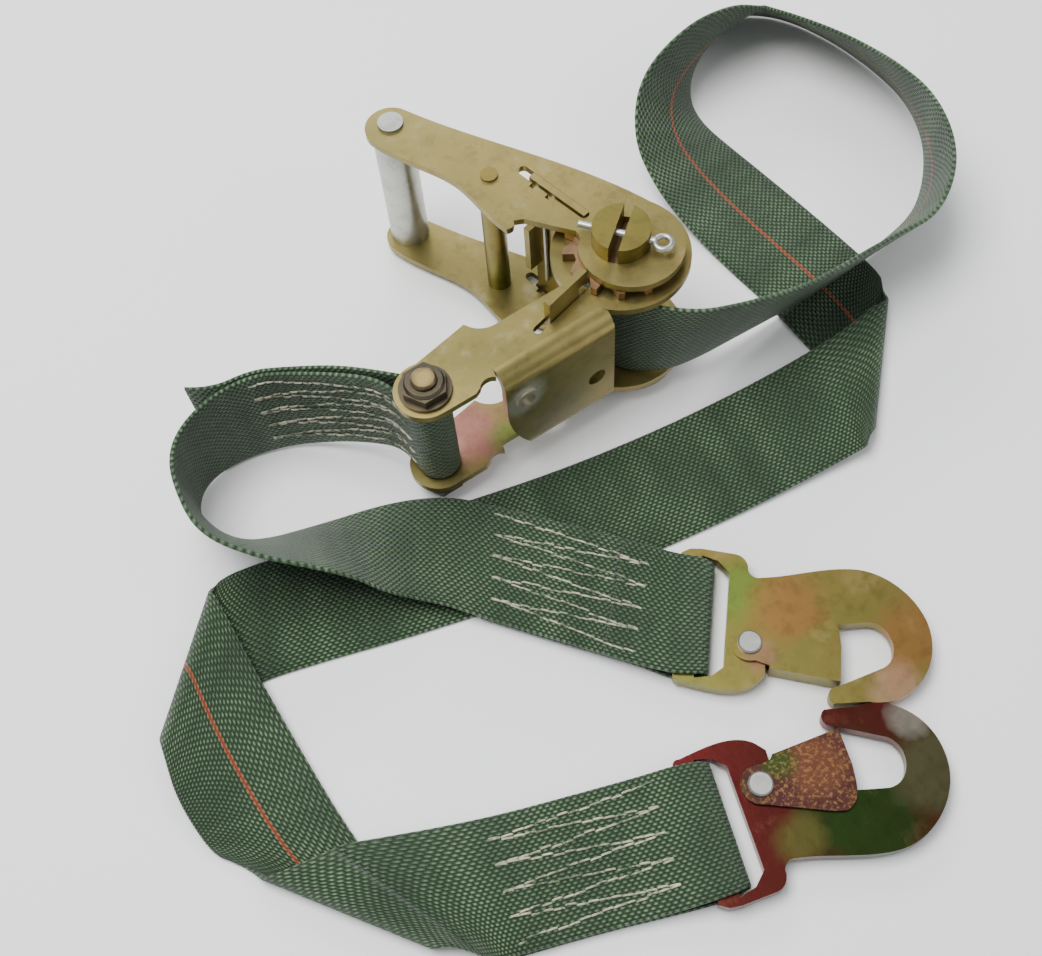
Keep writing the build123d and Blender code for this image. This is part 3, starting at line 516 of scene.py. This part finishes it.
def webbing_material(name, wound=False):
    """Dark green webbing: long picks in staggered rows with painted shade between them and painted
    highlight bands across, pale where rubbed, one orange stripe.
    """
    made = Nodes(name)
    if wound:
        along, across = round_spindle(made)
    else:
        uv = made.add("ShaderNodeUVMap", uv_map="weave").outputs["UV"]
        parts = made.add("ShaderNodeSeparateXYZ")
        made.link(uv, parts.inputs[0])
        along, across = parts.outputs["X"], parts.outputs["Y"]
    only_along = made.add("ShaderNodeCombineXYZ")
    made.link(along, only_along.inputs["X"])
    place = made.add("ShaderNodeTexCoord").outputs["Object"]
    # every other row starts half a pick further along
    row = made.math("ADD", made.math("DIVIDE", across, ROW), ROW_OFFSET)
    odd = made.math("MODULO", made.math("FLOOR", row), 2)
    column = made.math("ADD", made.math("DIVIDE", along, PICK), made.math("MULTIPLY", odd, 0.5))
    column = made.math("ADD", column, made.math("MULTIPLY", made.noise(place, 160, 2), 0.5))
    hill = made.math("ABSOLUTE", made.math("SINE", made.math("MULTIPLY", column, math.pi)))
    side = made.math("ABSOLUTE", made.math("SINE", made.math("MULTIPLY", row, math.pi)))
    height = made.math("MULTIPLY", made.math("POWER", hill, 0.9), made.math("POWER", side, 0.6))
    fibre = made.noise(place, 1700, 3, 0.7)
    rough_height = made.math("ADD", height, made.math("MULTIPLY", fibre, 0.3))
    # painted highlight bands across the webbing and rubbed places are paler, most of all on top of
    # the picks; the colour follows the picks' height, so their tops carry painted highlight and
    # the gaps between them painted shade, near black
    highlight_bands = made.math("MULTIPLY", made.noise(only_along.outputs[0], 55, 4, 0.65), 0.9)
    rubbed = made.math("MULTIPLY", made.noise(place, 30, 4, 0.6), 0.7)
    painted_light_and_wear = made.math("MULTIPLY", rough_height, made.math("ADD", highlight_bands, rubbed))
    # the darkest stop is the painted shade down between the picks, the palest the painted
    # highlight on their tops
    base = made.ramp(
        painted_light_and_wear,
        (0.08, (0.004, 0.012, 0.004)),
        (0.42, (0.017, 0.043, 0.015)),
        (0.75, (0.040, 0.084, 0.032)),
        (1.0, (0.13, 0.20, 0.10)),
    )
    # the stripe runs along the middle of the marked face, and wanders a little
    striped = made.add("ShaderNodeAttribute", attribute_name="striped").outputs["Fac"]
    drift = made.math("SUBTRACT", made.noise(only_along.outputs[0], 90), 0.5)
    drift = made.math("MULTIPLY", drift, STRIPE_DRIFT)
    off = made.math("ABSOLUTE", made.math("ADD", across, drift))
    near = made.math("LESS_THAN", off, STRIPE / 2)
    facing = made.math("GREATER_THAN", striped, 0.5)
    # the stripe fades down between the picks, painted shade as on the rest of the weave
    shown = made.math("MULTIPLY", made.math("ADD", height, 0.5), 0.75)
    on_stripe = made.math("MULTIPLY", made.math("MULTIPLY", near, facing), shown)
    colour = made.mix(on_stripe, base, STRIPE_COLOUR)
    made.link(colour, made.shader.inputs["Base Color"])
    made.shader.inputs["Roughness"].default_value = 0.55
    made.shader.inputs["Sheen Weight"].default_value = 0.12
    made.shader.inputs["Sheen Roughness"].default_value = 0.4
    made.bump(rough_height, 0.7 * MM, 1.0)
    return made.material


def plated_material(name, tones, worn, rough=(0.30, 0.52), patches=(), spots=None):
    """Plated steel: tones that run into each other, stained and rubbed places, fine scratches.

    A patch is its middle, its radius, its colour and its strength. Spots are a colour and
    a strength.
    """
    made = Nodes(name)
    place = made.add("ShaderNodeTexCoord").outputs["Object"]
    cloud = made.noise(place, CLOUD_SCALE, 3, 0.5)
    stops = [(0.32 + 0.36 * i / (len(tones) - 1), tone) for i, tone in enumerate(tones)]
    colour = made.ramp(cloud, *stops)
    ragged = made.noise(place, 60, 4, 0.6)
    for middle, radius, tint, strength in patches:
        apart = made.add("ShaderNodeVectorMath", operation="DISTANCE")
        made.link(place, apart.inputs[0])
        apart.inputs[1].default_value = middle
        inside = made.math("SUBTRACT", 1.0, made.math("DIVIDE", apart.outputs["Value"], radius))
        rim = made.math("MULTIPLY", made.math("SUBTRACT", ragged, 0.5), 0.9)
        inside = made.math("ADD", inside, rim)
        share = made.ramp(inside, (0.15, BLACK), (0.6, grey(strength)))
        colour = made.mix(share, colour, tint)
    rub = made.ramp(made.noise(place, 70, 5, 0.65), (0.58, BLACK), (0.78, WHITE))
    colour = made.mix(made.math("MULTIPLY", rub, 0.35), colour, worn)
    stain = made.ramp(made.noise(place, 140, 4, 0.7), (0.34, grey(0.45)), (0.50, WHITE))
    colour = made.mix(GRIME, colour, stain, "MULTIPLY")
    if spots:
        tint, strength = spots
        speck = made.ramp(made.noise(place, 620, 4, 0.7), (0.50, BLACK), (0.64, grey(strength)))
        colour = made.mix(speck, colour, tint)
    stretched = made.add("ShaderNodeMapping")
    stretched.inputs["Scale"].default_value = (1.0, 0.08, 0.3)
    made.link(place, stretched.inputs["Vector"])
    scratch = made.noise(stretched.outputs[0], 2600, 2, 0.6)
    level = made.math("ADD", made.math("MULTIPLY", rub, 0.5), made.math("MULTIPLY", scratch, 0.35))
    roughness = made.add("ShaderNodeMapRange")
    roughness.inputs["To Min"].default_value = rough[0]
    roughness.inputs["To Max"].default_value = rough[1]
    made.link(level, roughness.inputs["Value"])
    made.link(roughness.outputs[0], made.shader.inputs["Roughness"])
    made.link(colour, made.shader.inputs["Base Color"])
    made.shader.inputs["Metallic"].default_value = 0.85
    height = made.math("ADD", made.math("MULTIPLY", scratch, 0.3), made.noise(place, 420, 4, 0.6))
    made.bump(height, 0.05 * MM, 0.7)
    return made.material


def thread_material():
    """Cream sewing thread, soiled in places."""
    made = Nodes("cream_thread")
    place = made.add("ShaderNodeTexCoord").outputs["Object"]
    soil = made.noise(place, 130, 5, 0.75)
    stops = ((0.40, (0.07, 0.10, 0.06)), (0.50, (0.34, 0.33, 0.24)), (0.66, (0.60, 0.56, 0.42)))
    colour = made.ramp(soil, *stops)
    made.link(colour, made.shader.inputs["Base Color"])
    made.shader.inputs["Roughness"].default_value = 0.75
    made.bump(made.noise(place, 1800, 3, 0.6), 0.1 * MM, 0.8)
    return made.material


def on_hook_place(name, along, side):
    """A place on a hook, along it from its rivet and to its side, for a patch of colour."""
    turn, hand = HOOKS[name]
    spin = Matrix.Rotation(math.radians(turn), 3, "Z")
    rivet = centre(f"{name}_rivet").to_2d().to_3d()
    return tuple(rivet + spin @ Vector((along, hand * side, PATCH_HEIGHT)) * MM)


WEBBING_FABRIC = webbing_material("green_webbing")
THREAD = thread_material()

# Colours of the plating, from clean to stained, and the patches that each piece has.
PINK = (0.34, 0.13, 0.12)
LIME = (0.14, 0.22, 0.035)
ORANGE = (0.34, 0.13, 0.045)
BLOOD = (0.115, 0.010, 0.012)
MOSS = (0.016, 0.060, 0.010)
base_patches = (
    (tuple(at((-78, -4, 14))), 22 * MM, PINK, 0.8),
    (tuple(at((-66, -14, 14))), 12 * MM, LIME, 0.6),
    (tuple(at((-62, -24, 50))), 14 * MM, (0.60, 0.58, 0.52), 0.6),
    (tuple(at((-45, -24, 25))), 20 * MM, (0.20, 0.18, 0.09), 0.7),
)
bolt_patches = ((tuple(at((-96, -9, 79))), 7 * MM, (0.36, 0.26, 0.09), 0.8),)
hook_1_patches = (
    (on_hook_place("hook_1", -6, 22), 18 * MM, LIME, 0.8),
    (on_hook_place("hook_1", 14, 16), 22 * MM, ORANGE, 0.55),
    (on_hook_place("hook_1", 60, 8), 24 * MM, ORANGE, 0.6),
    (on_hook_place("hook_1", 56, -12), 16 * MM, (0.50, 0.28, 0.18), 0.6),
    (on_hook_place("hook_1", 4, -4), 10 * MM, PINK, 0.4),
)
hook_2_patches = (
    (on_hook_place("hook_2", 30, 24), 34 * MM, MOSS, 0.85),
    (on_hook_place("hook_2", 8, 22), 14 * MM, (0.13, 0.12, 0.03), 0.8),
    (on_hook_place("hook_2", 62, 12), 22 * MM, (0.11, 0.11, 0.05), 0.8),
    (on_hook_place("hook_2", 60, -9), 10 * MM, (0.36, 0.34, 0.27), 0.7),
)
gate_2_patches = (
    (on_hook_place("hook_2", 22, -2), 16 * MM, (0.12, 0.045, 0.025), 0.9),
    (on_hook_place("hook_2", 8, -6), 10 * MM, (0.02, 0.055, 0.01), 0.8),
)
FINISH = {
    "yellow_zinc": plated_material(
        "yellow_zinc",
        tones=((0.19, 0.165, 0.055), (0.27, 0.22, 0.075), (0.34, 0.26, 0.09)),
        worn=(0.42, 0.40, 0.33),
        patches=base_patches,
    ),
    "amber_zinc": plated_material(
        "amber_zinc",
        tones=((0.16, 0.17, 0.035), (0.22, 0.175, 0.045), (0.25, 0.18, 0.05)),
        worn=(0.32, 0.28, 0.15),
        patches=hook_1_patches,
    ),
    "copper_zinc": plated_material(
        "copper_zinc",
        tones=((0.14, 0.09, 0.05), (0.28, 0.17, 0.09), (0.36, 0.26, 0.13)),
        worn=(0.42, 0.38, 0.32),
    ),
    "dark_steel": plated_material(
        "dark_steel",
        tones=((0.045, 0.040, 0.030), (0.085, 0.070, 0.045), (0.13, 0.10, 0.055)),
        worn=(0.26, 0.24, 0.19),
        patches=bolt_patches,
    ),
    "grey_steel": plated_material(
        "grey_steel",
        tones=((0.34, 0.35, 0.32), (0.42, 0.43, 0.39), (0.50, 0.50, 0.45)),
        worn=(0.58, 0.58, 0.54),
    ),
    "red_chromate": plated_material(
        "red_chromate",
        tones=(BLOOD, (0.10, 0.016, 0.012), (0.060, 0.035, 0.012)),
        worn=(0.20, 0.10, 0.06),
        rough=(0.22, 0.42),
        patches=hook_2_patches,
    ),
    "rusty_chromate": plated_material(
        "rusty_chromate",
        tones=((0.020, 0.040, 0.010), (0.050, 0.016, 0.018), (0.075, 0.025, 0.022)),
        worn=(0.20, 0.12, 0.05),
        rough=(0.35, 0.6),
        patches=gate_2_patches,
        spots=((0.34, 0.19, 0.055), 0.55),
    ),
    "green_webbing": webbing_material("green_webbing_wound", wound=True),
}
EDGE_RADIUS = 0.35 * MM
EDGE_ANGLE = 35  # degrees


def dress_frame():
    """Every CAD node takes its slot's finish, and steel edges are rounded off a little."""
    for part in frame["record"]["subparts"]:
        piece = nodes[part["node"]]
        slot_name = part["material_slot"]
        piece.data.materials.clear()
        piece.data.materials.append(FINISH[slot_name])
        if slot_name != "green_webbing":
            round_off = piece.modifiers.new("round_off", "BEVEL")
            round_off.width = EDGE_RADIUS
            round_off.segments = 2
            round_off.limit_method = "ANGLE"
            round_off.angle_limit = math.radians(EDGE_ANGLE)


# --- straps ----------------------------------------------------------------------------

THREAD_R = 0.42 * MM
STITCH = 4.2 * MM
STITCH_GAP = 0.06  # at each end of a stitch, as a share of it
STITCH_KNOTS = (0, 0.12, 0.5, 0.88, 1)
STITCH_END = -0.35 * MM  # the thread dips into the webbing at the ends of a stitch
STITCH_TOP = 0.28 * MM
STRAY = 0.6  # millimetres to either side
PASSES = 9
SEWN_WIDTH = 42 * MM
HOOK_SEWN_LENGTH = 62 * MM
HOOK_SEWN_PAST_BAR = 12 * MM
BOLT_SEWN_LENGTH = 72 * MM
BOLT_SEWN_FROM = 44 * MM  # from the start of the short strap's run


def make_thread(name, ribbon, start, end, side):
    """Thread sewn to and fro along the webbing, a little further across at each pass.

    The side is 1 on the face of the webbing and -1 on its back.
    """
    data = bpy.data.curves.new(name, "CURVE")
    data.dimensions = "3D"
    data.bevel_depth = THREAD_R
    data.bevel_resolution = 2
    data.resolution_u = 3
    stitches = round(abs(end - start) / STITCH)
    chance = random.Random(name)
    for sewn_pass in range(PASSES):
        first = -SEWN_WIDTH / 2 + SEWN_WIDTH * sewn_pass / PASSES
        ends = (start, end) if sewn_pass % 2 == 0 else (end, start)
        for stitch in range(stitches):
            stray = chance.uniform(-STRAY, STRAY) * MM
            spline = data.splines.new("NURBS")
            spline.points.add(len(STITCH_KNOTS) - 1)
            for knot, part in zip(spline.points, STITCH_KNOTS):
                t = (stitch + STITCH_GAP + (1 - 2 * STITCH_GAP) * part) / stitches
                along = ends[0] + (ends[1] - ends[0]) * t
                across = first + SEWN_WIDTH / PASSES * t + stray
                height = THICKNESS / 2 + (STITCH_END if part in (0, 1) else STITCH_TOP)
                knot.co = (*ribbon.place(along, across, side * height), 1)
            spline.order_u = 3
            spline.use_endpoint_u = True
    curve = bpy.data.objects.new(name, data)
    mesh = bpy.data.meshes.new_from_object(curve)
    bpy.data.objects.remove(curve)
    mesh.materials.clear()
    thread = add_object(name, mesh, [THREAD])
    return thread


def sew_on_hook(name, ribbon, bar, side):
    """The sewing that holds a strap on a hook's bar."""
    end = ribbon.reach[bar] + HOOK_SEWN_PAST_BAR
    return make_thread(name, ribbon, end - HOOK_SEWN_LENGTH, end, side)


def hook_bend(piece):
    """Bakes a strap piece's placement into its mesh."""
    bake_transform(piece)


def make_short_strap():
    """Its sewn tail, its run from the anchor bolt, and the loop on hook 1's bar."""
    to_bar = SHORT_TAIL + bolt_loop() + SHORT_RUN
    start = cut_after(SHORT_TAIL)
    bar = cut_after(to_bar)
    ribbon = Ribbon(to_bar + bar_loop("hook_1") + SHORT_END)
    tail = make_band("short_strap_tail", ribbon, 0, start, False)
    run = make_band("short_strap_run", ribbon, start, bar, False)
    loop = make_band("short_strap_hook_loop", ribbon, bar, len(ribbon.middle) - 1, False)
    sewn = ribbon.reach[start] + BOLT_SEWN_FROM
    sewn_end = sewn + BOLT_SEWN_LENGTH
    bolt_thread = make_thread("short_strap_bolt_stitching", ribbon, sewn, sewn_end, 1)
    hook_thread = sew_on_hook("short_strap_hook_stitching", ribbon, bar, 1)
    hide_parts("short_strap")
    for piece in (tail, bolt_thread):
        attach(piece, "base")
    for piece in (run, loop, hook_thread):
        hook_bend(piece)


def make_long_strap():
    """Its run from the spindle to the last fold, and the sewn end on hook 2's bar."""
    fold = cut_after(LONG_RUN[:-SEWN_LINES])
    bar = cut_after(LONG_RUN)
    ribbon = Ribbon(LONG_RUN + bar_loop("hook_2") + LONG_END)
    run = make_band("long_strap_run", ribbon, 0, fold, True)
    end = make_band("long_strap_hook_end", ribbon, fold, len(ribbon.middle) - 1, True)
    hook_thread = sew_on_hook("long_strap_hook_stitching", ribbon, bar, -1)
    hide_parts("long_strap")
    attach(run, "base")
    for piece in (end, hook_thread):
        hook_bend(piece)


def make_pressed_spring():
    """The stop pawl's spring, which the pawl presses against the base's tab."""
    mesh = nodes["stop_pawl_spring"].data.copy()
    mesh.materials.clear()
    spring = add_object("stop_pawl_spring_pressed", mesh, [FINISH["grey_steel"]])
    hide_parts("stop_pawl_spring")
    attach(spring, "base")
    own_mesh(spring)


make_short_strap()
make_long_strap()
make_pressed_spring()


# --- stage -----------------------------------------------------------------------------

FLOOR_REACH = 4.0
FLOOR_COLOUR = (0.93, 0.93, 0.92, 1)
WORLD_COLOUR = (0.92, 0.95, 1.0, 1)
WORLD_STRENGTH = 0.5
LIT_PLACE = (0, -0.05, 0)


def area_light(name, place, size, power):
    """A soft light at a place, turned to the middle of the object."""
    data = bpy.data.lights.new(name, "AREA")
    data.shape = "RECTANGLE"
    data.size, data.size_y = size
    data.energy = power
    light = bpy.data.objects.new(name, data)
    light.location = place
    towards = Vector(LIT_PLACE) - Vector(place)
    light.rotation_euler = towards.to_track_quat("-Z", "Y").to_euler()
    bpy.context.scene.collection.objects.link(light)


def make_stage():
    """A pale floor, soft lights from above and all round, and a pale world."""
    mesh = bpy.data.meshes.new("floor")
    sides = ((-1, -1), (1, -1), (1, 1), (-1, 1))
    corners = [(FLOOR_REACH * x, FLOOR_REACH * y, 0) for x, y in sides]
    mesh.from_pydata(corners, [], [(0, 1, 2, 3)])
    paper = Nodes("floor")
    paper.shader.inputs["Base Color"].default_value = FLOOR_COLOUR
    paper.shader.inputs["Roughness"].default_value = 0.9
    floor = add_object("floor", mesh, [paper.material])
    area_light("key", (-0.25, 0.15, 1.1), size=(0.8, 0.6), power=19)
    area_light("fill", (0.8, -0.9, 0.9), size=(0.9, 0.9), power=4)
    area_light("rim", (0.4, 0.9, 0.7), size=(0.8, 0.3), power=6)
    world = bpy.data.worlds.new("world")
    world.use_nodes = True
    background = world.node_tree.nodes["Background"]
    background.inputs["Color"].default_value = WORLD_COLOUR
    background.inputs["Strength"].default_value = WORLD_STRENGTH
    bpy.context.scene.world = world


dress_frame()
make_stage()
